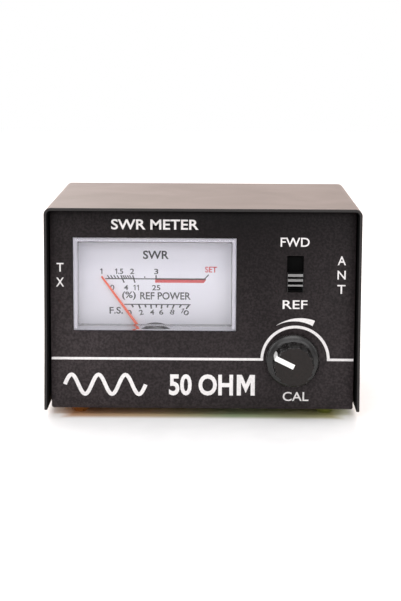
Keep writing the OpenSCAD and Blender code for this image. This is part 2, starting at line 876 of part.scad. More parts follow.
chassis();
cover();
faceplate();
cover_screws();
tx_flange();
tx_barrel();
tx_insulator();
tx_contact();
ant_flange();
ant_barrel();
ant_insulator();
ant_contact();
socket_screws();
socket_nuts();
coupler_board();
coupler_line();
sense_lines();
board_spacers();
board_screws();
diodes();
load_resistors();
bypass_capacitors();
meter_gasket();
meter_lens();
meter_housing();
meter_dial();
meter_pointer();
meter_coil();
coil_pivots();
magnet_core();
core_mount();
yoke_ring();
front_bridge();
rear_bridge();
jewel_screws();
hairsprings();
meter_terminals();
switch_frame();
switch_base();
switch_terminals();
switch_button();
switch_slider();
pot_housing();
pot_bushing();
pot_washer();
pot_nut();
pot_element();
pot_terminals();
pot_shaft();
pot_wiper();
knob();
knob_pointer();
control_board();
wires();
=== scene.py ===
"""SWR meter: the looks of the object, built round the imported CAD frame."""

import math

import bmesh
import bpy
from mathutils import Matrix, Vector


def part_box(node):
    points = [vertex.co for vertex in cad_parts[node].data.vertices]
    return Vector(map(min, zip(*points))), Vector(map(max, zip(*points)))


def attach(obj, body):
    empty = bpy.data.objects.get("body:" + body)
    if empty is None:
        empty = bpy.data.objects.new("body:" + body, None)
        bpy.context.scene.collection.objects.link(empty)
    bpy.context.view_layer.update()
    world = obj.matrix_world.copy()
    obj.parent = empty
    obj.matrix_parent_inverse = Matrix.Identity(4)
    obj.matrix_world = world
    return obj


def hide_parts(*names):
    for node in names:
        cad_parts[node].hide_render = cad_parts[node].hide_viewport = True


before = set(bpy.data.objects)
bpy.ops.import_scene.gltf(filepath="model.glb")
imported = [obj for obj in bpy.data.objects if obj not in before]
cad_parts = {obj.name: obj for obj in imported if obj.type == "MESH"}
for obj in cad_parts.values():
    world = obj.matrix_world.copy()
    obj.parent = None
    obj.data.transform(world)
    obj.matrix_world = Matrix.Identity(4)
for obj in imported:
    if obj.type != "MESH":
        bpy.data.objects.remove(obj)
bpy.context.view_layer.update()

MM = 0.001
TAU = math.tau


# ---- Places, in millimetres, in the CAD frame ----

def box_mm(node):
    """Lowest and highest corner of a CAD node in millimetres."""
    low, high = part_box(node)
    return low / MM, high / MM


COVER_LOW, COVER_HIGH = box_mm("cover")
KNOB_LOW, KNOB_HIGH = box_mm("knob")
BUTTON_LOW, BUTTON_HIGH = box_mm("switch_button")
COVER_Y = COVER_LOW.y
PLATE_Y = box_mm("faceplate")[0].y
DIAL_Y = box_mm("meter_dial")[0].y
LENS_Y = box_mm("meter_lens")[0].y

# Centre and size of the meter's window and of the switch's slot in the panel
WINDOW_X, WINDOW_Z = -15.3, 42.6
WINDOW_W, WINDOW_H = 51.5, 29.5
SLOT_X, SLOT_Z = 29.4, 46.2
SLOT_W, SLOT_H = 5.3, 11.7


# ---- Procedural materials ----

class Graph:
    """The nodes of one material, added and joined in short calls."""

    def __init__(self, name):
        self.material = bpy.data.materials.new(name)
        self.material.use_nodes = True
        self.tree = self.material.node_tree
        self.shader = self.tree.nodes["Principled BSDF"]
        self.place = self.add("ShaderNodeTexCoord").outputs["Object"]

    def add(self, kind, **settings):
        node = self.tree.nodes.new(kind)
        for key, value in settings.items():
            setattr(node, key, value)
        return node

    def join(self, output, socket):
        self.tree.links.new(output, socket)

    def stretched(self, stretch):
        """Object coordinates scaled by a different amount along each axis."""
        node = self.add("ShaderNodeMapping")
        node.inputs["Scale"].default_value = stretch
        self.join(self.place, node.inputs["Vector"])
        return node.outputs["Vector"]

    def noise(self, scale, detail=3.0, stretch=None, distortion=0.0):
        """Noise with scale given in features per metre."""
        node = self.add("ShaderNodeTexNoise")
        node.inputs["Scale"].default_value = scale
        node.inputs["Detail"].default_value = detail
        node.inputs["Distortion"].default_value = distortion
        self.join(self.stretched(stretch) if stretch else self.place, node.inputs["Vector"])
        return node.outputs["Fac"]

    def cells(self, scale):
        node = self.add("ShaderNodeTexVoronoi")
        node.inputs["Scale"].default_value = scale
        self.join(self.place, node.inputs["Vector"])
        return node.outputs["Distance"]

    def axis(self, name):
        """One coordinate of the place, in metres."""
        node = self.add("ShaderNodeSeparateXYZ")
        self.join(self.place, node.inputs[0])
        return node.outputs[name]

    def spread(self, value, low, high, to_low=0.0, to_high=1.0):
        node = self.add("ShaderNodeMapRange")
        for key, number in zip(("From Min", "From Max", "To Min", "To Max"), (low, high, to_low, to_high)):
            node.inputs[key].default_value = number
        self.join(value, node.inputs["Value"])
        return node.outputs["Result"]

    def math(self, operation, a, b):
        node = self.add("ShaderNodeMath", operation=operation)
        for socket, value in zip(node.inputs, (a, b)):
            if isinstance(value, (int, float)):
                socket.default_value = value
            else:
                self.join(value, socket)
        return node.outputs[0]

    def ramp(self, value, stops):
        """Colours by value; stops are (position, (r, g, b)) pairs."""
        node = self.add("ShaderNodeValToRGB")
        elements = node.color_ramp.elements
        while len(elements) < len(stops):
            elements.new(0.5)
        for element, (position, colour) in zip(elements, stops):
            element.position = position
            element.color = (*colour, 1.0)
        self.join(value, node.inputs["Fac"])
        return node.outputs["Color"]

    def bumps(self, *layers):
        """Chained bumps; each layer is (height, strength, distance in mm)."""
        normal = None
        for height, strength, distance in layers:
            node = self.add("ShaderNodeBump")
            node.inputs["Strength"].default_value = strength
            node.inputs["Distance"].default_value = distance * MM
            self.join(height, node.inputs["Height"])
            if normal:
                self.join(normal, node.inputs["Normal"])
            normal = node.outputs["Normal"]
        self.join(normal, self.shader.inputs["Normal"])

    def set(self, **sockets):
        for key, value in sockets.items():
            self.shader.inputs[key.replace("_", " ")].default_value = value
        return self


def shade(colour, factor):
    """A colour made darker or lighter, kept within white."""
    return tuple(min(1.0, part * factor) for part in colour)


def surface(name, colour, roughness=0.45, metallic=0.0, grain=500, vary=0.15, bump=0.15,
            stretch=None, stain=None, **sockets):
    """A general material: mottled colour, grain in the gloss and a fine surface relief."""
    g = Graph(name)
    fine = g.noise(grain, 4, stretch)
    broad = g.noise(grain / 9, 3, None, 0.6)
    value = g.math("ADD", g.math("MULTIPLY", fine, 0.6), g.math("MULTIPLY", broad, 0.4))
    stops = [(0.3, shade(colour, 1 - vary)), (0.5, colour), (0.72, shade(colour, 1 + vary * 0.6))]
    if stain:
        stops[0] = (0.3, stain)
    g.join(g.ramp(value, stops), g.shader.inputs["Base Color"])
    rough = g.spread(broad, 0.3, 0.7, max(0.03, roughness - 0.08), roughness + 0.08)
    g.join(rough, g.shader.inputs["Roughness"])
    g.bumps((fine, bump, 0.04), (broad, bump * 0.5, 0.1))
    g.set(Metallic=metallic, **sockets)
    return g.material


def textured_paint(name, colour, grain, relief, roughness, specular, painted_bounce=None, **sockets):
    """Black stoving paint: a fine pebbled skin with paler rubbed specks.

    The optional extra colour is painted light: the lower and outer parts of the surface pale towards it,
    standing in for light thrown up from the floor."""
    g = Graph(name)
    pebble = g.noise(grain, 2)
    peel = g.cells(grain * 0.45)
    cloud = g.noise(45, 4, None, 0.8)
    speck = g.math("ADD", g.math("MULTIPLY", pebble, 0.75), g.math("MULTIPLY", cloud, 0.25))
    tint = g.ramp(speck, [(0.32, shade(colour, 0.75)), (0.5, colour), (0.66, shade(colour, 1.5)),
                          (0.8, shade(colour, 2.6))])
    # Painted light: paler towards the bottom and the outer sides, standing in for light from the floor
    if painted_bounce:
        height = g.spread(g.axis("Z"), 0.066, 0.020)
        aside = g.spread(g.math("ABSOLUTE", g.math("ADD", g.axis("X"), -0.012), 0.0), 0.0, 0.065)
        film = g.math("ADD", g.math("MULTIPLY", height, 0.62), g.math("MULTIPLY", aside, 0.38))
        film = g.math("MULTIPLY", film, g.spread(cloud, 0.3, 0.7, 0.85, 1.15))
        mix = g.add("ShaderNodeMixRGB")
        g.join(film, mix.inputs["Fac"])
        g.join(tint, mix.inputs["Color1"])
        mix.inputs["Color2"].default_value = (*painted_bounce, 1.0)
        speckle = g.add("ShaderNodeMixRGB", blend_type="MULTIPLY")
        speckle.inputs["Fac"].default_value = 1.0
        g.join(mix.outputs["Color"], speckle.inputs["Color1"])
        greys = [(at, (grey, grey, grey)) for at, grey in ((0.36, 0.5), (0.5, 0.72), (0.62, 1.0))]
        g.join(g.ramp(g.noise(1500, 2), greys), speckle.inputs["Color2"])
        tint = speckle.outputs["Color"]
    g.set(Specular_IOR_Level=specular, **sockets)
    g.join(tint, g.shader.inputs["Base Color"])
    g.join(g.spread(cloud, 0.3, 0.7, roughness - 0.02, roughness + 0.03), g.shader.inputs["Roughness"])
    g.bumps((pebble, relief, 0.03), (peel, relief * 0.5, 0.02))
    return g.material


def passivated_steel():
    """Yellow-passivated steel: a thin iridescent film from straw and rust brown to green."""
    g = Graph("passivated_steel")
    film = g.noise(38, 3, None, 1.2)
    across = g.spread(g.axis("X"), -0.05, 0.05, 0.08, 0.46)
    value = g.math("ADD", g.math("MULTIPLY", film, 0.4), across)
    tint = g.ramp(value, [(0.20, (0.47, 0.23, 0.08)), (0.34, (0.53, 0.30, 0.09)), (0.46, (0.52, 0.40, 0.12)),
                          (0.58, (0.40, 0.41, 0.12)), (0.70, (0.38, 0.43, 0.14)), (0.82, (0.55, 0.51, 0.16))])
    g.join(tint, g.shader.inputs["Base Color"])
    rolled = g.noise(900, 3, (1, 0.06, 1))
    g.join(g.spread(rolled, 0.3, 0.7, 0.26, 0.42), g.shader.inputs["Roughness"])
    g.bumps((rolled, 0.12, 0.02), (g.noise(160, 3), 0.1, 0.05))
    g.set(Metallic=0.85)
    return g.material


def plated(name, colour, roughness, scratch=(1, 0.05, 1)):
    """Bright plated metal with fine drawn scratches and duller patches."""
    g = Graph(name)
    lines = g.noise(1600, 3, scratch)
    patches = g.noise(120, 4, None, 0.5)
    g.join(g.ramp(patches, [(0.3, shade(colour, 0.82)), (0.6, colour)]), g.shader.inputs["Base Color"])
    g.join(g.spread(patches, 0.3, 0.7, roughness + 0.12, roughness), g.shader.inputs["Roughness"])
    g.bumps((lines, 0.1, 0.02))
    g.set(Metallic=1.0)
    return g.material


def clear_plastic():
    """Clear moulded plastic; lamps shine through it onto the dial."""
    g = Graph("clear_plastic")
    g.set(Base_Color=(0.97, 0.97, 0.985, 1.0), Transmission_Weight=1.0, IOR=1.49)
    haze = g.noise(90, 4)
    g.join(g.spread(haze, 0.35, 0.75, 0.01, 0.04), g.shader.inputs["Roughness"])
    through = g.add("ShaderNodeBsdfTransparent")
    through.inputs["Color"].default_value = (0.93, 0.93, 0.96, 1.0)
    mix = g.add("ShaderNodeMixShader")
    g.join(g.add("ShaderNodeLightPath").outputs["Is Shadow Ray"], mix.inputs["Fac"])
    g.join(g.shader.outputs["BSDF"], mix.inputs[1])
    g.join(through.outputs["BSDF"], mix.inputs[2])
    g.join(mix.outputs["Shader"], g.tree.nodes["Material Output"].inputs["Surface"])
    return g.material


def ink(name, colour, roughness=0.5):
    """Screen-printed ink: slightly uneven cover and a soft edge to the gloss."""
    g = Graph(name)
    cover = g.noise(1400, 3)
    g.join(g.ramp(cover, [(0.3, shade(colour, 0.86)), (0.6, colour)]), g.shader.inputs["Base Color"])
    g.join(g.spread(cover, 0.3, 0.7, roughness - 0.06, roughness + 0.08), g.shader.inputs["Roughness"])
    g.bumps((cover, 0.15, 0.01))
    return g.material


def dial_paper():
    """Satin white dial, a little greyer in the middle and towards its foot; this greying is painted shade."""
    g = Graph("dial_white")
    tooth = g.noise(2500, 2)
    cloud = g.noise(30, 3)
    tint = g.ramp(g.math("ADD", g.math("MULTIPLY", tooth, 0.3), g.math("MULTIPLY", cloud, 0.7)),
                  [(0.3, (0.90, 0.885, 0.945)), (0.6, (0.945, 0.935, 0.98))])
    # Painted shade: darker towards the foot and, a little, in the middle
    low = g.spread(g.axis("Z"), 0.046, 0.029)
    aside = g.spread(g.math("ABSOLUTE", g.math("ADD", g.axis("X"), 0.015), 0.0), 0.008, 0.025, 1.0, 0.0)
    mix = g.add("ShaderNodeMixRGB", blend_type="MULTIPLY")
    g.join(g.math("ADD", g.math("MULTIPLY", low, 0.55), g.math("MULTIPLY", aside, 0.12)), mix.inputs["Fac"])
    g.join(tint, mix.inputs["Color1"])
    mix.inputs["Color2"].default_value = (0.70, 0.70, 0.695, 1.0)
    g.join(mix.outputs["Color"], g.shader.inputs["Base Color"])
    g.join(g.spread(tooth, 0.3, 0.7, 0.5, 0.66), g.shader.inputs["Roughness"])
    g.bumps((tooth, 0.1, 0.01))
    g.set(Specular_IOR_Level=0.3)
    return g.material


MATERIALS = {
    "cover_paint": textured_paint("cover_paint", (0.011, 0.009, 0.0088), 2300, 0.35, 0.40, 0.32,
                                  Sheen_Weight=0.10, Sheen_Roughness=0.35, Sheen_Tint=(1.0, 0.72, 0.58, 1.0)),
    # The panel's paler lower and outer parts are painted light from the floor
    "panel_paint": textured_paint("panel_paint", (0.004, 0.0026, 0.0030), 3000, 0.18, 0.42, 0.10,
                                  painted_bounce=(0.046, 0.037, 0.0385)),
    "passivated_steel": passivated_steel(),
    "plated_screws": plated("plated_screws", (0.66, 0.62, 0.55), 0.24, (1, 1, 1)),
    "nickel_plate": plated("nickel_plate", (0.74, 0.72, 0.68), 0.2),
    "socket_insulation": surface("socket_insulation", (0.78, 0.75, 0.66), 0.38, grain=900, vary=0.08),
    "gilt_brass": plated("gilt_brass", (0.80, 0.62, 0.30), 0.22),
    "plain_brass": plated("plain_brass", (0.70, 0.52, 0.24), 0.3),
    "copper_foil": plated("copper_foil", (0.72, 0.36, 0.19), 0.34),
    "green_board": surface("green_board", (0.05, 0.17, 0.06), 0.35, grain=1400, vary=0.25),
    "brown_board": surface("brown_board", (0.30, 0.19, 0.09), 0.5, grain=1400, vary=0.25),
    "diode_glass": surface("diode_glass", (0.50, 0.15, 0.05), 0.12, grain=900, vary=0.3, Coat_Weight=0.6),
    "resistor_body": surface("resistor_body", (0.55, 0.40, 0.24), 0.42, grain=1200, vary=0.12),
    "ceramic_body": surface("ceramic_body", (0.62, 0.28, 0.07), 0.34, grain=1200, vary=0.15),
    "black_foam": surface("black_foam", (0.02, 0.02, 0.02), 0.9, grain=2600, vary=0.5, bump=0.6),
    "clear_plastic": clear_plastic(),
    # Pale lavender grey: painted light for the lens's rim
    "painted_rim_light": surface("painted_rim_light", (0.67, 0.65, 0.71), 0.6, grain=900, vary=0.05, bump=0.03),
    "white_plastic": surface("white_plastic", (0.74, 0.73, 0.72), 0.45, grain=900, vary=0.06),
    "dial_white": dial_paper(),
    "dial_black": ink("dial_black", (0.010, 0.0095, 0.013)),
    "dial_red": ink("dial_red", (0.70, 0.045, 0.05)),
    "panel_white": ink("panel_white", (0.77, 0.74, 0.735)),
    "needle_paint": ink("needle_paint", (0.90, 0.105, 0.03), 0.35),
    "coil_wire": surface("coil_wire", (0.45, 0.16, 0.06), 0.35, 0.7, grain=2500, vary=0.3,
                         stretch=(0.2, 1, 0.2), bump=0.5),
    "bright_steel": plated("bright_steel", (0.60, 0.60, 0.62), 0.28),
    "dark_iron": surface("dark_iron", (0.16, 0.16, 0.17), 0.5, 0.8, grain=900, vary=0.25),
    "spring_bronze": plated("spring_bronze", (0.62, 0.42, 0.18), 0.3),
    "tinned_copper": plated("tinned_copper", (0.68, 0.66, 0.60), 0.3),
    "black_plastic": surface("black_plastic", (0.008, 0.0075, 0.008), 0.2, grain=700, vary=0.3, bump=0.04),
    "matt_black": surface("matt_black", (0.0025, 0.0025, 0.0025), 0.8, grain=1200, vary=0.3,
                          Specular_IOR_Level=0.08),
    "knob_plastic": surface("knob_plastic", (0.0065, 0.0056, 0.0053), 0.27, grain=1500, vary=0.35, bump=0.12,
                            Specular_IOR_Level=0.55),
    "knob_face": surface("knob_face", (0.019, 0.0158, 0.0148), 0.6, grain=1500, vary=0.35, bump=0.2,
                         Specular_IOR_Level=0.15),
    # Light grey plastic that paints the highlight on the switch's ridges
    "painted_ridge_highlight": surface("painted_ridge_highlight", (0.125, 0.12, 0.117), 0.32, grain=1500, vary=0.2, bump=0.1,
                              Specular_IOR_Level=0.8),
    "white_inlay": surface("white_inlay", (0.90, 0.90, 0.88), 0.4, grain=1500, vary=0.05, bump=0.08),
    "carbon_track": surface("carbon_track", (0.03, 0.03, 0.03), 0.6, grain=1800, vary=0.3),
    "wire_sleeving": surface("wire_sleeving", (0.50, 0.03, 0.02), 0.38, grain=700, vary=0.3),
}

# Which material each carried-over CAD node gets
NODE_LOOKS = {
    "passivated_steel": ("chassis",),
    "matt_black": ("switch_frame",),
    "plated_screws": ("cover_screws", "socket_screws", "socket_nuts", "board_screws"),
    "nickel_plate": ("tx_flange", "ant_flange", "pot_washer", "pot_nut"),
    "socket_insulation": ("tx_insulator", "ant_insulator"),
    "gilt_brass": ("tx_contact", "ant_contact", "switch_slider", "pot_wiper"),
    "plain_brass": ("board_spacers", "pot_bushing", "meter_terminals", "jewel_screws"),
    "copper_foil": ("coupler_line", "sense_lines"),
    "green_board": ("coupler_board",),
    "brown_board": ("control_board", "switch_base"),
    "diode_glass": ("diodes",),
    "resistor_body": ("load_resistors",),
    "ceramic_body": ("bypass_capacitors",),
    "black_foam": ("meter_gasket",),
    "clear_plastic": ("meter_lens",),
    "white_plastic": ("meter_housing",),
    "dial_white": ("meter_dial",),
    "needle_paint": ("meter_pointer",),
    "coil_wire": ("meter_coil",),
    "bright_steel": ("coil_pivots", "core_mount", "pot_shaft", "front_bridge", "rear_bridge"),
    "dark_iron": ("magnet_core", "yoke_ring", "pot_housing"),
    "spring_bronze": ("hairsprings",),
    "tinned_copper": ("switch_terminals", "pot_terminals"),
    "carbon_track": ("pot_element",),
    "wire_sleeving": ("wires",),
}


def dress(obj, material):
    """Gives an object one material in place of any it had."""
    obj.data.materials.clear()
    obj.data.materials.append(MATERIALS[material])


for look, names in NODE_LOOKS.items():
    for name in names:
        dress(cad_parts[name], look)


# ---- Mesh building ----

def placed(name, mesh, material, body, replaces, sharp):
    """A mesh as a piece on a body, with its shading set by the angle between faces."""
    obj = bpy.data.objects.new(name, mesh)
    bpy.context.scene.collection.objects.link(obj)
    mesh.shade_smooth()
    mesh.set_sharp_from_angle(angle=math.radians(sharp))
    dress(obj, material)
    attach(obj, body)
    if replaces:
        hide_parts(*replaces)
    return obj


def piece(name, verts, faces, material, body, replaces=(), sharp=32):
    """A new piece from vertices in millimetres."""
    mesh = bpy.data.meshes.new(name)
    mesh.from_pydata([Vector(v) * MM for v in verts], [], faces)
    bm = bmesh.new()
    bm.from_mesh(mesh)
    bmesh.ops.remove_doubles(bm, verts=bm.verts, dist=1e-7)
    bmesh.ops.recalc_face_normals(bm, faces=bm.faces)
    bm.to_mesh(mesh)
    bm.free()
    return placed(name, mesh, material, body, replaces, sharp)


def second_look(obj, material, chosen):
    """Gives another material to the faces for which chosen(centre in mm, normal) is true."""
    obj.data.materials.append(MATERIALS[material])
    for face in obj.data.polygons:
        if chosen(face.center / MM, face.normal):
            face.material_index = 1


def rounded(obj, width, segments=3, angle=32):
    """Rounds a piece's sharp edges by a width in millimetres."""
    bevel = obj.modifiers.new("rounding", "BEVEL")
    bevel.width = width * MM
    bevel.segments = segments
    bevel.limit_method = "ANGLE"
    bevel.angle_limit = math.radians(angle)
    bevel.harden_normals = False


def refined(name, node, body, slot, width, material=None):
    """A copy of a CAD node with welded corners and its sharp edges rounded by a width in millimetres."""
    bm = bmesh.new()
    bm.from_mesh(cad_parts[node].data)
    bmesh.ops.remove_doubles(bm, verts=bm.verts, dist=2e-6)
    bmesh.ops.dissolve_limit(bm, angle_limit=math.radians(0.6), verts=bm.verts, edges=bm.edges)
    bmesh.ops.recalc_face_normals(bm, faces=bm.faces)
    edges = [e for e in bm.edges if len(e.link_faces) == 2 and e.calc_face_angle() > math.radians(30)]
    bmesh.ops.bevel(bm, geom=edges, offset=width * MM, offset_type="OFFSET", segments=2,
                    profile=0.5, affect="EDGES", clamp_overlap=True)
    mesh = bpy.data.meshes.new(name)
    bm.to_mesh(mesh)
    bm.free()
    placed(name, mesh, material or slot, body, (node,), 32)


def strip_faces(rows, columns, close_rows=False, close_columns=False):
    """Quads between rows of points; each row has the same number of points."""
    faces = []
    for i in range(rows if close_rows else rows - 1):
        for k in range(columns if close_columns else columns - 1):
            a = i * columns + k
            b = i * columns + (k + 1) % columns
            c = ((i + 1) % rows) * columns + (k + 1) % columns
            d = ((i + 1) % rows) * columns + k
            faces.append((a, b, c, d))
    return faces


def arc(cx, cy, radius, start, stop, steps):
    """Points on an arc, angles in degrees anticlockwise."""
    points = []
    for i in range(steps + 1):
        angle = math.radians(start + (stop - start) * i / steps)
        points.append((cx + radius * math.cos(angle), cy + radius * math.sin(angle)))
    return points


def swung(point, about, turn):
    """An (x, z) point turned clockwise about another, in degrees."""
    angle = math.radians(-turn)
    dx, dz = point[0] - about[0], point[1] - about[1]
    return (about[0] + dx * math.cos(angle) - dz * math.sin(angle),
            about[1] + dx * math.sin(angle) + dz * math.cos(angle))


class Sheet:
    """Flat artwork collected as thin closed solids, then turned into one piece."""

    def __init__(self, y, thickness):
        self.y = y
        self.thickness = thickness
        self.verts = []
        self.faces = []

    def take(self, verts, faces):
        start = len(self.verts)
        self.verts += verts
        self.faces += [tuple(start + index for index in face) for face in faces]

    def outline(self, points):
        """A flat shape whose outline is given as (x, z) points."""
        count = len(points)
        front = [(x, self.y - self.thickness, z) for x, z in points]
        back = [(x, self.y, z) for x, z in points]
        walls = [(i, (i + 1) % count, count + (i + 1) % count, count + i) for i in range(count)]
        self.take(front + back, [tuple(range(count)), tuple(range(2 * count - 1, count - 1, -1))] + walls)

    def band(self, inner, outer):
        """The area between two open lines with the same number of points."""
        rows = []
        for (xa, za), (xb, zb) in zip(inner, outer):
            rows += [(xa, self.y - self.thickness, za), (xb, self.y - self.thickness, zb),
                     (xb, self.y, zb), (xa, self.y, za)]
        count = len(inner)
        ends = [(0, 1, 2, 3), tuple(4 * (count - 1) + k for k in (3, 2, 1, 0))]
        self.take(rows, strip_faces(count, 4, close_columns=True) + ends)

    def line(self, start, end, width):
        (xa, za), (xb, zb) = start, end
        length = math.hypot(xb - xa, zb - za)
        dx, dz = (zb - za) / length * width / 2, -(xb - xa) / length * width / 2
        self.outline([(xa + dx, za + dz), (xb + dx, zb + dz), (xb - dx, zb - dz), (xa - dx, za - dz)])

    def figure(self, words, x0, x1, z0, z1, weight=0.0, turn=0.0):
        """A number, with every 1 drawn with a flag, turned clockwise about the box's centre."""
        middle = ((x0 + x1) / 2, (z0 + z1) / 2)
        ones = len(words) - len(words.lstrip("1"))
        height = z1 - z0
        rest = words[ones:]
        advance = 0.62 * height
        for i in range(ones):
            right = x0 + advance * i + 0.44 * height
            stem = right - (0.14 + weight * 2) * height
            left = right - 0.40 * height
            upright = [(stem, z0), (right, z0), (right, z1), (stem, z1)]
            flag = [(left, z1 - 0.34 * height), (stem, z1 - 0.22 * height), (stem, z1),
                    (left, z1 - 0.2 * height)]
            for points in (upright, flag):
                self.outline([swung(point, middle, turn) for point in points])
        if rest:
            self.text(rest, x0 + advance * ones, x1, z0, z1, weight, turn, middle)

    def text(self, words, x0, x1, z0, z1, weight=0.0, turn=0.0, about=None):
        """Lettering fitted to a box, turned clockwise in degrees about the box's centre or another point."""
        curve = bpy.data.curves.new("lettering", "FONT")
        curve.body = words
        curve.offset = weight
        curve.extrude = 0.5
        curve.resolution_u = 4
        holder = bpy.data.objects.new("lettering", curve)
        bpy.context.scene.collection.objects.link(holder)
        bpy.context.view_layer.update()
        mesh = bpy.data.meshes.new_from_object(holder.evaluated_get(bpy.context.evaluated_depsgraph_get()))
        xs = [v.co.x for v in mesh.vertices]
        zs = [v.co.y for v in mesh.vertices]
        about = about or ((x0 + x1) / 2, (z0 + z1) / 2)
        verts = []
        for v in mesh.vertices:
            x = x0 + (v.co.x - min(xs)) / (max(xs) - min(xs)) * (x1 - x0)
            z = z0 + (v.co.y - min(zs)) / (max(zs) - min(zs)) * (z1 - z0)
            x, z = swung((x, z), about, turn)
            verts.append((x, self.y - self.thickness * (v.co.z + 0.5), z))
        self.take(verts, [tuple(face.vertices) for face in mesh.polygons])
        bpy.data.objects.remove(holder)
        bpy.data.curves.remove(curve)
        bpy.data.meshes.remove(mesh)

    def piece(self, name, material, body, slot):
        piece(name, self.verts, self.faces, material, body, sharp=20)


# ---- Cover ----

def cover_shell():
    """Inverted U of painted sheet with rounded long edges and softened sheet edges."""
    sheet = 1.0
    radius = 2.2
    right_flare, left_flare = 0.25, 0.45
    half_width = COVER_HIGH.x
    low, high = COVER_LOW.z, COVER_HIGH.z

    def leg(side, inset, spread):
        """Points up one leg, which leans out towards its foot."""
        heights = [low + (high - radius - low) * i / 8 for i in range(8)]
        return [(side * (half_width - inset + spread * (1 - i / 8) ** 2), z) for i, z in enumerate(heights)]

    def path(inset):
        bend = radius - inset
        right = arc(half_width - radius, high - radius, bend, 0, 90, 10)
        left = arc(radius - half_width, high - radius, bend, 90, 180, 10)
        return leg(1, inset, right_flare) + right + left + leg(-1, inset, left_flare)[::-1]

    outer, inner = path(0), path(sheet)
    loop = outer + inner[::-1]
    depths = [COVER_LOW.y, COVER_HIGH.y]
    verts = [(x, y, z) for y in depths for x, z in loop]
    count = len(loop)
    half_count = len(outer)
    faces = strip_faces(2, count, close_columns=True)
    for k in range(half_count - 1):
        a, b = k, k + 1
        c, d = count - 2 - k, count - 1 - k
        faces.append((a, b, c, d))
        faces.append((count + d, count + c, count + b, count + a))

    def inner_side(centre, normal):
        """Whether a face looks into the case: towards its middle or, near the top, downwards."""
        outwards = normal.x * centre.x
        if centre.z > high - 2 * sheet:
            outwards += normal.z * (centre.z - low)
        return abs(normal.y) < 0.5 and outwards < 0

    obj = piece("cover_shell", verts, faces, "cover_paint", "case", ("cover",))
    # Painted shade: the inner faces get the darker matt black, standing in for the deep shade inside the case
    second_look(obj, "matt_black", inner_side)
    rounded(obj, 0.28, 3, 50)


# ---- Knob ----

FLUTES = 14
FLUTE_RADIUS = 1.6
FLUTE_OFFSET = 0.88
KNOB_AXIS = ((KNOB_LOW.x + KNOB_HIGH.x) / 2, (KNOB_LOW.z + KNOB_HIGH.z) / 2)
SKIRT_R = (KNOB_HIGH.x - KNOB_LOW.x) / 2
CAP_R = SKIRT_R - 2.05
RIM = 0.5
KNOB_FACE = KNOB_LOW.y
KNOB_BACK = KNOB_HIGH.y
POINTER_TURN = -64.0


def rim_arc():
    """(radius, y, lean) round the cap's rim, where lean is the turn from facing front to facing out."""
    points = []
    for degrees in (0, 22, 45, 68, 90):
        lean = math.radians(degrees)
        points.append((CAP_R - RIM + RIM * math.sin(lean), KNOB_FACE + RIM - RIM * math.cos(lean), lean))
    return points


def knob_profile():
    """(radius, y) from the middle of the cap out over the rim, wall and skirt to the hollow behind."""
    face, back = KNOB_FACE, KNOB_BACK
    points = [(r, face + 0.02) for r in (0.0, 1.2, 2.4, 3.6)]
    points += [(4.8, face + 0.02), (5.6, face)]
    points += [(radius, y) for radius, y, lean in rim_arc()]
    wall_start, wall_step = face + 0.9, 0.4
    rows = int((back - 3.2 - wall_start) / wall_step) + 1
    points += [(CAP_R, wall_start + wall_step * i) for i in range(rows)]
    points += [(CAP_R + 0.03, back - 2.95), (CAP_R + 0.16, back - 2.82), (CAP_R + 0.45, back - 2.72)]
    points += [(CAP_R + 0.9, back - 2.55), (CAP_R + 1.35, back - 2.32), (SKIRT_R - 0.36, back - 2.0)]
    points += [(SKIRT_R - 0.1, back - 1.8), (SKIRT_R, back - 1.5), (SKIRT_R, back - 0.2)]
    points += [(SKIRT_R - 0.2, back), (6.6, back), (6.4, back - 0.2), (6.4, back - 2.5), (3.3, back - 2.6)]
    points += [(3.1, back - 2.7), (3.02, face + 2.4), (0.0, face + 2.3)]
    return points


def fluted(radius, y, angle):
    """Radius after the ball-ended finger flutes are cut into the cap's wall."""
    centre = CAP_R + FLUTE_OFFSET
    end = KNOB_BACK - 3.0 - FLUTE_RADIUS
    pitch = TAU / FLUTES
    off = (angle + pitch / 2) % pitch - pitch / 2
    past = max(0.0, y - end)
    if past >= FLUTE_RADIUS:
        return radius
    reach = math.sqrt(FLUTE_RADIUS ** 2 - past ** 2)
    sideways = centre * math.sin(off)
    if abs(sideways) >= reach:
        return radius
    return min(radius, centre * math.cos(off) - math.sqrt(reach ** 2 - sideways ** 2))


def knob_body():
    """The fluted cap with its skirt and the hollow behind it; the face is duller than the sides."""
    segments = FLUTES * 16
    profile = knob_profile()
    verts = []
    for radius, y in profile:
        for k in range(segments):
            angle = TAU * k / segments
            r = fluted(radius, y, angle)
            verts.append((KNOB_AXIS[0] + r * math.sin(angle), y, KNOB_AXIS[1] + r * math.cos(angle)))
    faces = strip_faces(len(profile), segments, close_columns=True)
    knob = piece("knob_body", verts, faces, "knob_plastic", "knob", ("knob",), sharp=40)
    second_look(knob, "knob_face", lambda centre, normal: centre.y < KNOB_FACE + 0.05)


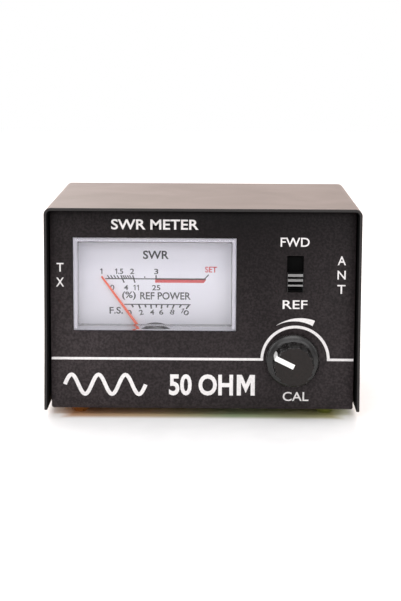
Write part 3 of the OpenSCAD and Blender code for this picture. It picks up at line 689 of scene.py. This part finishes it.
def knob_line():
    """The white filled line: across the cap from its centre, over the rim and down to the skirt."""
    half_width = 0.79
    proud = 0.06
    depth = 0.4
    face, back = KNOB_FACE, KNOB_BACK
    path = [(r, face, 0.0) for r in (0.05, 1.5, 3.0, 4.5)] + rim_arc()
    path += [(CAP_R, y, math.pi / 2) for y in (face + 1.5, face + 3.0, face + 5.0, back - 3.0)]
    across = [half_width * share for share in (-1.0, -0.5, 0.0, 0.5, 1.0)]
    ring = [(proud, t) for t in across] + [(-depth, t) for t in reversed(across)]
    swing = math.radians(POINTER_TURN)
    verts = []
    for r, y, lean in path:
        for lift, t in ring:
            reach = math.sqrt(max(0.0, r * r - t * t)) if lean > 0.3 else r
            out = reach + lift * math.sin(lean)
            deep = y - lift * math.cos(lean)
            x = out * math.sin(swing) + t * math.cos(swing)
            z = out * math.cos(swing) - t * math.sin(swing)
            verts.append((KNOB_AXIS[0] + x, deep, KNOB_AXIS[1] + z))
    around, total = len(ring), len(verts)
    faces = strip_faces(len(path), around, close_columns=True)
    faces += [tuple(range(around)), tuple(range(total - 1, total - around - 1, -1))]
    obj = piece("knob_line", verts, faces, "white_inlay", "knob", ("knob_pointer",))
    rounded(obj, 0.05, 2, 40)


# ---- Window ----

def painted_lens_rim():
    """Pale ring inside the lens's side and top walls, where the moulding meets its bevel: painted light
    standing in for the light that the clear walls carry to their front edge.
    """
    land, inset = 0.95, 0.06
    y = LENS_Y + 0.95
    x0, x1 = WINDOW_X - WINDOW_W / 2 + inset, WINDOW_X + WINDOW_W / 2 - inset
    z0, z1 = WINDOW_Z - WINDOW_H / 2 + 0.6, WINDOW_Z + WINDOW_H / 2 - inset
    outer = [(x0, z0), (x0, z1), (x1, z1), (x1, z0)]
    inner = [(x0 + land, z0), (x0 + land, z1 - land), (x1 - land, z1 - land), (x1 - land, z0)]
    verts = []
    for depth in (y, y + 0.2):
        for x, z in outer + inner[::-1]:
            verts.append((x, depth, z))
    faces = [(0, 1, 6, 7), (1, 2, 5, 6), (2, 3, 4, 5)]
    faces += [tuple(k + 8 for k in face[::-1]) for face in faces]
    faces += [(k, (k + 1) % 8, (k + 1) % 8 + 8, k + 8) for k in range(8)]
    piece("painted_lens_rim", verts, faces, "painted_rim_light", "case")


# ---- Switch ----

SLIDE_X = (BUTTON_LOW.x + BUTTON_HIGH.x) / 2
SLIDE_Z = (BUTTON_LOW.z + BUTTON_HIGH.z) / 2
CARRIAGE_Y = BUTTON_HIGH.y - 1.7
GROOVE_Y = BUTTON_LOW.y + 1.3
GRIP_HALF_W, GRIP_HALF_H = 2.4, 3.15
BOX_FACES = [(0, 1, 2, 3), (7, 6, 5, 4), (0, 4, 5, 1), (1, 5, 6, 2), (2, 6, 7, 3), (3, 7, 4, 0)]


def box_corners(xs, ys, zs):
    """The eight corners of a box, in the order that BOX_FACES needs."""
    (front, back), (low, high) = ys, zs
    return [(x, y, z) for x in xs for y, z in ((front, low), (back, low), (back, high), (front, high))]


def switch_grip():
    """Black slide button with ridges on its finger face; their upward facets are painted light grey as a
    highlight.
    """
    nose = BUTTON_LOW.y
    high, low = SLIDE_Z + GRIP_HALF_H, SLIDE_Z - GRIP_HALF_H
    profile = [(CARRIAGE_Y + 0.2, high), (GROOVE_Y, high)]
    # Each ridge: height of its upper edge over the middle, how tall it is and how far it slopes
    for top, tall, slope in ((2.73, 0.80, 0.56), (1.19, 0.80, 0.56), (-0.64, 0.52, 0.38),
                             (-1.62, 0.12, 0.04), (-2.50, 0.12, 0.04)):
        z = SLIDE_Z + top
        profile += [(GROOVE_Y, z + 0.02), (nose + slope, z), (nose, z - tall), (GROOVE_Y, z - tall - 0.04)]
    profile += [(GROOVE_Y, low), (CARRIAGE_Y + 0.2, low)]
    count = len(profile)
    verts = [(x, y, z) for x in (SLIDE_X - GRIP_HALF_W, SLIDE_X + GRIP_HALF_W) for y, z in profile]
    faces = strip_faces(2, count, close_columns=True)
    faces += [tuple(range(count)), tuple(range(2 * count - 1, count - 1, -1))]
    grip = piece("switch_grip", verts, faces, "matt_black", "switch", ("switch_button",))
    # Painted highlight: the ridges' facets that face up and forward get the light grey plastic
    second_look(grip, "painted_ridge_highlight", lambda centre, normal: normal.y < -0.5 and normal.z > 0.45)
    rounded(grip, 0.05, 2, 35)


def slot_lining():
    """Black lining of the slot, just proud of the cut edge of the sheet behind the panel."""
    outside, inside = 0.19, -0.04
    front, back = PLATE_Y + 0.35, PLATE_Y + 1.5
    verts = []
    for grow, y in ((outside, front), (outside, back), (inside, back), (inside, front)):
        half_w, half_h = SLOT_W / 2 + grow, SLOT_H / 2 + grow
        for dx, dz in ((-1, -1), (1, -1), (1, 1), (-1, 1)):
            verts.append((SLOT_X + dx * half_w, y, SLOT_Z + dz * half_h))
    faces = strip_faces(4, 4, close_rows=True, close_columns=True)
    piece("slot_lining", verts, faces, "matt_black", "case")


def switch_cheeks():
    """Smooth side walls of the button."""
    thick = 0.12
    zs = (SLIDE_Z - GRIP_HALF_H, SLIDE_Z + GRIP_HALF_H)
    verts, faces = [], []
    for inner, outer in ((-GRIP_HALF_W, -GRIP_HALF_W - thick), (GRIP_HALF_W, GRIP_HALF_W + thick)):
        faces += [tuple(len(verts) + k for k in face) for face in BOX_FACES]
        verts += box_corners((SLIDE_X + inner, SLIDE_X + outer), (GROOVE_Y - 0.4, CARRIAGE_Y + 0.2), zs)
    piece("switch_cheeks", verts, faces, "black_plastic", "switch")


def switch_carriage():
    """Flat matt plate that carries the button behind the slot."""
    half_width = 3.5
    verts = box_corners((SLIDE_X - half_width, SLIDE_X + half_width), (CARRIAGE_Y, BUTTON_HIGH.y),
                        (BUTTON_LOW.z, BUTTON_HIGH.z))
    slide = piece("switch_carriage", verts, BOX_FACES, "matt_black", "switch")
    rounded(slide, 0.25, 3, 35)


# ---- Socket barrels ----

def socket_barrel(side):
    """Threaded socket body with a toothed rim, as one closed turned shape."""
    low, high = box_mm(f"{side}_barrel")
    cx, cz = (low.x + high.x) / 2, (low.z + high.z) / 2
    crest = (high.x - low.x) / 2
    root = crest - 0.58
    pitch = 25.4 / 24
    run_out = 0.6
    teeth, tooth_depth = 16, 0.32
    neck, mouth, seat_bore = 7.6, 6.0, 5.2
    tip = high.y
    floor_y = tip - 6.5
    seat = tip - 17.5
    start = seat + 3.2
    stop = tip - 0.9
    steps = 96
    # Each station is a radius, its y and whether teeth are cut there; None is a place on the thread
    stations = [(neck, low.y, 0), (neck, seat, 0), (crest, seat + 0.02, 0), (crest, start - 0.5, 0),
                (root, start, 0)]
    rows = int((stop - start) / (pitch / 8))
    stations += [(None, start + (stop - start) * (i + 1) / rows, 0) for i in range(rows)]
    stations += [(root, stop + 0.1, 0), (root, tip - 0.35, 1), (root - 0.3, tip - 0.02, 1),
                 (mouth + 0.25, tip, 1), (mouth, tip - 0.25, 1), (mouth, floor_y + 0.1, 0),
                 (mouth - 0.1, floor_y, 0), (seat_bore, floor_y, 0), (seat_bore, low.y, 0)]
    verts = []
    for radius, y, toothed in stations:
        for k in range(steps):
            angle = TAU * k / steps
            r, depth = radius, y
            if radius is None:
                turn = ((y - start) / pitch - k / steps) % 1.0
                ramp = min(1.0, (y - start) / run_out, (stop - y) / run_out)
                flank = min(1.0, max(0.0, 1.25 - abs(turn - 0.5) * 3.4))
                r = root + (crest - root) * flank * max(0.0, ramp)
            if toothed:
                depth = y - tooth_depth * abs(((k * teeth / steps) % 1.0) - 0.5) * 2
            verts.append((cx + r * math.sin(angle), depth, cz + r * math.cos(angle)))
    faces = strip_faces(len(stations), steps, close_rows=True, close_columns=True)
    piece(f"{side}_thread", verts, faces, "nickel_plate", "case", (f"{side}_barrel",),
          sharp=50)


# ---- Artwork ----

def heavy_m(art, x0, x1, z0, z1, stem):
    """A heavy letter M as one outline."""
    middle = (x0 + x1) / 2
    shoulder = stem * 1.2
    shoulder_z = z1 - 0.36 * (z1 - z0)
    dip = z0 + 0.12 * (z1 - z0)
    notch = dip + 2.2 * stem
    art.outline([(x0, z0), (x0, z1), (x0 + shoulder, z1), (middle, notch), (x1 - shoulder, z1), (x1, z1),
                 (x1, z0), (x1 - stem, z0), (x1 - stem, shoulder_z), (middle, dip), (x0 + stem, shoulder_z),
                 (x0 + stem, z0)])


def panel_print():
    """White printing on the front panel."""
    art = Sheet(PLATE_Y, 0.03)
    art.text("SWR METER", -29.1, -1.4, 60.2, 63.5, 0.018)
    art.text("FWD", 24.6, 33.8, 55.0, 57.9, 0.008)
    art.text("REF", 25.5, 33.4, 35.0, 37.8, 0.008)
    art.text("CAL", 25.9, 34.2, 4.9, 7.9, 0.008)
    art.text("T", -46.5, -44.3, 46.6, 49.4, 0.008)
    art.text("X", -46.7, -44.2, 41.8, 44.7, 0.008)
    for i, letter in enumerate("ANT"):
        foot = 49.2 - 4.6 * i
        art.text(letter, 42.8, 45.4, foot, foot + 2.85, 0.008)
    art.text("50 OH", -10.7, 9.9, 6.5, 13.5, 0.03)
    heavy_m(art, 11.1, 16.9, 6.6, 13.4, 1.35)

    # Dividing line with its half ring over the knob
    edge, line_z, line_w = 48.4, 18.5, 0.8
    ring_x, ring_in, ring_out = 29.7, 10.2, 11.1
    for start, end in ((-edge, ring_x - ring_in), (ring_x + ring_in, edge)):
        art.line((start, line_z), (end, line_z), line_w)
    art.band(arc(ring_x, line_z, ring_in, 2, 178, 48), arc(ring_x, line_z, ring_out, 2, 178, 48))

    # Wedge that grows towards the right: more level
    steps, tallest, slant = 24, 1.68, 0.7
    inner = arc(29.3, 18.9, 12.1, 119, 61, steps)
    outer = []
    for i, (x, z) in enumerate(inner):
        share = i / steps
        outer.append((x + slant * share, z + 0.02 + tallest * share ** 0.9))
    art.band(inner, outer)

    # Generic wave pictogram
    left, right, middle, height = -44.2, -18.2, 10.0, 3.2
    waves, points = 3, 72
    half_thick = 0.62
    upper, lower = [], []
    for i in range(points + 1):
        t = i / points
        x = left + (right - left) * t
        z = middle + height * math.sin(TAU * waves * t)
        slope = height * TAU * waves / (right - left) * math.cos(TAU * waves * t)
        norm = math.hypot(1.0, slope)
        upper.append((x - slope / norm * half_thick, z + half_thick / norm))
        lower.append((x + slope / norm * half_thick, z - half_thick / norm))
    art.band(lower, upper)
    art.piece("panel_print", "panel_white", "case", "white_inlay")


def dial_print():
    """Black and red printing on the dial."""
    black = Sheet(DIAL_Y, 0.02)
    red = Sheet(DIAL_Y, 0.015)
    fan_x, fan_z = -15.1, 20.6
    top_z, low_z = 43.4, 34.85
    stroke, bold = 0.36, 0.44

    def ray(angle, z):
        """The point at height z on a ray from the scales' centre, angle clockwise from upright."""
        return fan_x + (z - fan_z) * math.tan(math.radians(angle)), z

    black.text("SWR", -19.35, -10.95, 50.0, 52.8, 0.02)
    black.line((-31.7, top_z), (1.1, top_z), stroke)
    black.line((-15.2, top_z), (1.1, top_z), 0.5)
    for angle in (-33.6, -31.7, -29.8, -27.8, -23.9, -22.5, -20.8, -19.2):
        black.line(ray(angle, top_z), (ray(angle, top_z)[0] - 0.75, top_z + 1.15), stroke)
    for angle, low, high in ((-25.7, -1.3, 1.15), (-17.7, -1.3, 1.15), (0.0, 0.0, 1.25)):
        x = ray(angle, top_z)[0]
        lean = 0.992 * math.sin(math.radians(-angle))
        black.line((x - lean * low, top_z + low), (x - lean * high, top_z + high), bold)
    black.line(ray(-9.0, top_z + 0.35), ray(-9.0, top_z + 0.8), stroke)
    black.line((0.75, top_z + 0.1), (2.05, top_z + 1.5), stroke)
    red.outline([(-15.4, top_z - 0.15), (-15.4, top_z - 1.25), (0.45, top_z - 1.25), (1.3, top_z - 0.15)])
    red.text("SET", 0.85, 4.75, 45.65, 47.6, 0.018)

    # Figures over and under the top scale: words, middle and width
    over = (("1", -33.0, 0.8), ("1.5", -27.2, 2.75), ("2", -22.9, 1.35), ("3", -15.05, 1.35))
    under = (("0", -29.4, 1.35), ("4", -24.9, 1.4), ("11", -21.6, 2.0), ("25", -15.05, 2.7))
    height = 1.8
    for row, foot in ((over, 44.97), (under, 39.57)):
        for words, x, width in row:
            black.figure(words, x - width / 2, x + width / 2, foot, foot + height, 0.018)

    black.text("(%)", -26.2, -21.7, 36.3, 39.15, 0.018)
    black.text("REF POWER", -20.3, -3.8, 36.5, 39.0, 0.02)
    black.line((-25.5, low_z), (-3.8, low_z), 0.34)
    ends = (-23.1, -20.8, -18.7, -16.8, -15.0, -13.2, -11.2, -9.2, -6.9, -4.2)
    for i, x in enumerate(ends):
        length = 1.4 if i % 2 else 1.0
        lean = (x - fan_x) * 0.069
        black.line((x, low_z), (x - lean * length, low_z - length), 0.52)
    # Figures under the lower scale: words, middle, foot and turn
    figures = (("0", -23.8, 31.25, -18), ("2", -20.0, 31.3, -12), ("4", -16.4, 31.37, 0),
               ("6", -13.4, 31.43, 3), ("8", -9.8, 31.47, 15), ("10", -5.7, 31.5, 28))
    for words, x, z, turn in figures:
        width = 1.4 * len(words)
        black.figure(words, x - width / 2, x + width / 2, z, z + 1.75, 0.018, turn)
    black.text("F.S.", -30.35, -25.95, 31.65, 33.95, 0.018)
    black.piece("dial_print_black", "dial_black", "case", "dial_print")
    red.piece("dial_print_red", "dial_red", "case", "dial_print")


cover_shell()
refined("front_panel", "faceplate", "case", "printed_black", 0.05, "panel_paint")
refined("chassis_tray", "chassis", "case", "passivated_steel", 0.12)
for side_name in ("tx", "ant"):
    socket_barrel(side_name)
    refined(f"{side_name}_plate", f"{side_name}_flange", "case", "nickel_plate", 0.22)
refined("window_lens", "meter_lens", "case", "clear_plastic", 0.12)
painted_lens_rim()
refined("rear_screws", "socket_screws", "case", "plated_screws", 0.08)
refined("side_screws", "cover_screws", "case", "plated_screws", 0.08)
knob_body()
knob_line()
switch_grip()
slot_lining()
switch_cheeks()
switch_carriage()
panel_print()
dial_print()


# ---- Floor, light and camera ----

SKY_FRONT = (0.50, 0.49, 0.50)
SKY_BACK = (1.98, 1.65, 1.52)
SKY_TOP = (1.20, 1.20, 1.22)


def floor():
    """A pale studio floor that runs into a white backdrop, with a painted shadow beneath the case, tinted as
    a painted reflection of the base's colours.
    """
    g = Graph("floor")
    weave = g.noise(140, 3)
    pale = g.ramp(weave, [(0.3, (0.89, 0.885, 0.88)), (0.6, (0.91, 0.905, 0.90))])
    half_w, half_d = 0.0455, 0.0395
    middle = (COVER_LOW.y + COVER_HIGH.y) / 2 * MM
    reach_x = g.math("MULTIPLY", g.math("ABSOLUTE", g.axis("X"), 0.0), 1 / half_w)
    reach_y = g.math("MULTIPLY", g.math("ABSOLUTE", g.math("ADD", g.axis("Y"), -middle), 0.0), 1 / half_d)
    # Painted shadow and painted reflection: the floor beneath the case is darkened and tinted with the base's
    # colours
    under = g.spread(g.math("MAXIMUM", reach_x, reach_y), 1.01, 0.92, 0.0, 0.85)
    painted_shadow_tint = g.ramp(g.spread(g.axis("X"), -0.05, 0.05), [(0.0, (0.50, 0.22, 0.08)), (0.35, (0.40, 0.26, 0.09)),
                                                       (0.6, (0.16, 0.24, 0.08)), (1.0, (0.40, 0.33, 0.10))])
    mix = g.add("ShaderNodeMixRGB")
    g.join(under, mix.inputs["Fac"])
    g.join(pale, mix.inputs["Color1"])
    g.join(painted_shadow_tint, mix.inputs["Color2"])
    g.join(mix.outputs["Color"], g.shader.inputs["Base Color"])
    g.join(g.spread(weave, 0.3, 0.7, 0.30, 0.36), g.shader.inputs["Roughness"])
    g.bumps((weave, 0.02, 0.1))
    g.set(Specular_IOR_Level=0.25)
    backdrop = g.add("ShaderNodeEmission")
    backdrop.inputs["Color"].default_value = (1.0, 1.0, 1.0, 1.0)
    distance = g.add("ShaderNodeVectorMath", operation="LENGTH")
    g.join(g.place, distance.inputs[0])
    blend = g.add("ShaderNodeMixShader")
    g.join(g.spread(distance.outputs["Value"], 0.45, 1.3), blend.inputs["Fac"])
    g.join(g.shader.outputs["BSDF"], blend.inputs[1])
    g.join(backdrop.outputs["Emission"], blend.inputs[2])
    g.join(blend.outputs["Shader"], g.tree.nodes["Material Output"].inputs["Surface"])
    reach = 9.0
    corners = [(dx * reach, dy * reach, 0) for dx, dy in ((-1, -1), (1, -1), (1, 1), (-1, 1))]
    mesh = bpy.data.meshes.new("floor")
    mesh.from_pydata(corners, [], [(0, 1, 2, 3)])
    mesh.materials.append(g.material)
    obj = bpy.data.objects.new("floor", mesh)
    bpy.context.scene.collection.objects.link(obj)


def softbox(name, place, target, width, height, radiance):
    """A rectangular lamp given by how bright its face is; seen neither directly nor through the lens."""
    lamp = bpy.data.lights.new(name, "AREA")
    lamp.shape = "RECTANGLE"
    lamp.size = width
    lamp.size_y = height
    lamp.energy = radiance * math.pi * width * height
    obj = bpy.data.objects.new(name, lamp)
    obj.location = place
    obj.rotation_euler = (Vector(target) - Vector(place)).to_track_quat("-Z", "Y").to_euler()
    obj.visible_camera = False
    obj.visible_transmission = False
    bpy.context.scene.collection.objects.link(obj)


def surroundings():
    """White to the camera; as light it is bright overhead, warm and bright behind, and dim in front."""
    world = bpy.data.worlds.new("studio")
    bpy.context.scene.world = world
    world.use_nodes = True
    tree = world.node_tree
    nodes = tree.nodes
    nodes.clear()

    def blended(share, low, high):
        mix = nodes.new("ShaderNodeMixRGB")
        tree.links.new(share, mix.inputs["Fac"])
        for socket, value in ((mix.inputs["Color1"], low), (mix.inputs["Color2"], high)):
            if isinstance(value, tuple):
                socket.default_value = (*value, 1.0)
            else:
                tree.links.new(value, socket)
        return mix.outputs["Color"]

    def share_of(value, low, high):
        node = nodes.new("ShaderNodeMapRange")
        node.interpolation_type = "SMOOTHSTEP"
        node.inputs["From Min"].default_value = low
        node.inputs["From Max"].default_value = high
        tree.links.new(value, node.inputs["Value"])
        return node.outputs["Result"]

    split = nodes.new("ShaderNodeSeparateXYZ")
    tree.links.new(nodes.new("ShaderNodeTexCoord").outputs["Generated"], split.inputs[0])
    around = blended(share_of(split.outputs["Y"], -0.2, 0.8), SKY_FRONT, SKY_BACK)
    colour = blended(share_of(split.outputs["Z"], 0.25, 0.75), around, SKY_TOP)
    light = nodes.new("ShaderNodeBackground")
    tree.links.new(colour, light.inputs["Color"])
    seen = nodes.new("ShaderNodeBackground")
    seen.inputs["Color"].default_value = (1.0, 1.0, 1.0, 1.0)
    mix = nodes.new("ShaderNodeMixShader")
    tree.links.new(nodes.new("ShaderNodeLightPath").outputs["Is Camera Ray"], mix.inputs["Fac"])
    tree.links.new(light.outputs[0], mix.inputs[1])
    tree.links.new(seen.outputs[0], mix.inputs[2])
    tree.links.new(mix.outputs[0], nodes.new("ShaderNodeOutputWorld").inputs["Surface"])


def camera():
    """A long lens a little above the panel, as in the photograph."""
    data = bpy.data.cameras.new("camera")
    data.lens = 98.2
    data.sensor_width = 36.0
    data.clip_start = 0.01
    data.clip_end = 50.0
    obj = bpy.data.objects.new("camera", data)
    bpy.context.scene.collection.objects.link(obj)
    turns = [(0.511, "Z"), (-9.833, "X"), (-0.272, "Y"), (90.0, "X")]
    rotation = Matrix.Identity(4)
    for degrees, axis in turns:
        rotation = rotation @ Matrix.Rotation(math.radians(degrees), 4, axis)
    obj.matrix_world = Matrix.Translation(Vector((3.9, COVER_Y - 509.9, 126.8)) * MM) @ rotation
    bpy.context.scene.camera = obj


floor()
softbox("key", (0.0, -0.55, 0.95), (0, 0, 0.03), 0.75, 0.55, 2.0)
softbox("front", (0.1, -1.4, 0.48), (0, 0, 0.04), 1.5, 0.5, 3.0)
softbox("left_fill", (-1.0, -0.2, 0.5), (0, 0, 0.03), 0.6, 0.8, 1.6)
softbox("right_fill", (1.0, -0.1, 0.5), (0, 0, 0.03), 0.6, 0.8, 1.6)
softbox("back_fill", (-0.5, 1.0, 0.75), (0, 0, 0.03), 0.9, 0.6, 2.2)
surroundings()
camera()
bpy.context.scene.view_settings.view_transform = "Standard"
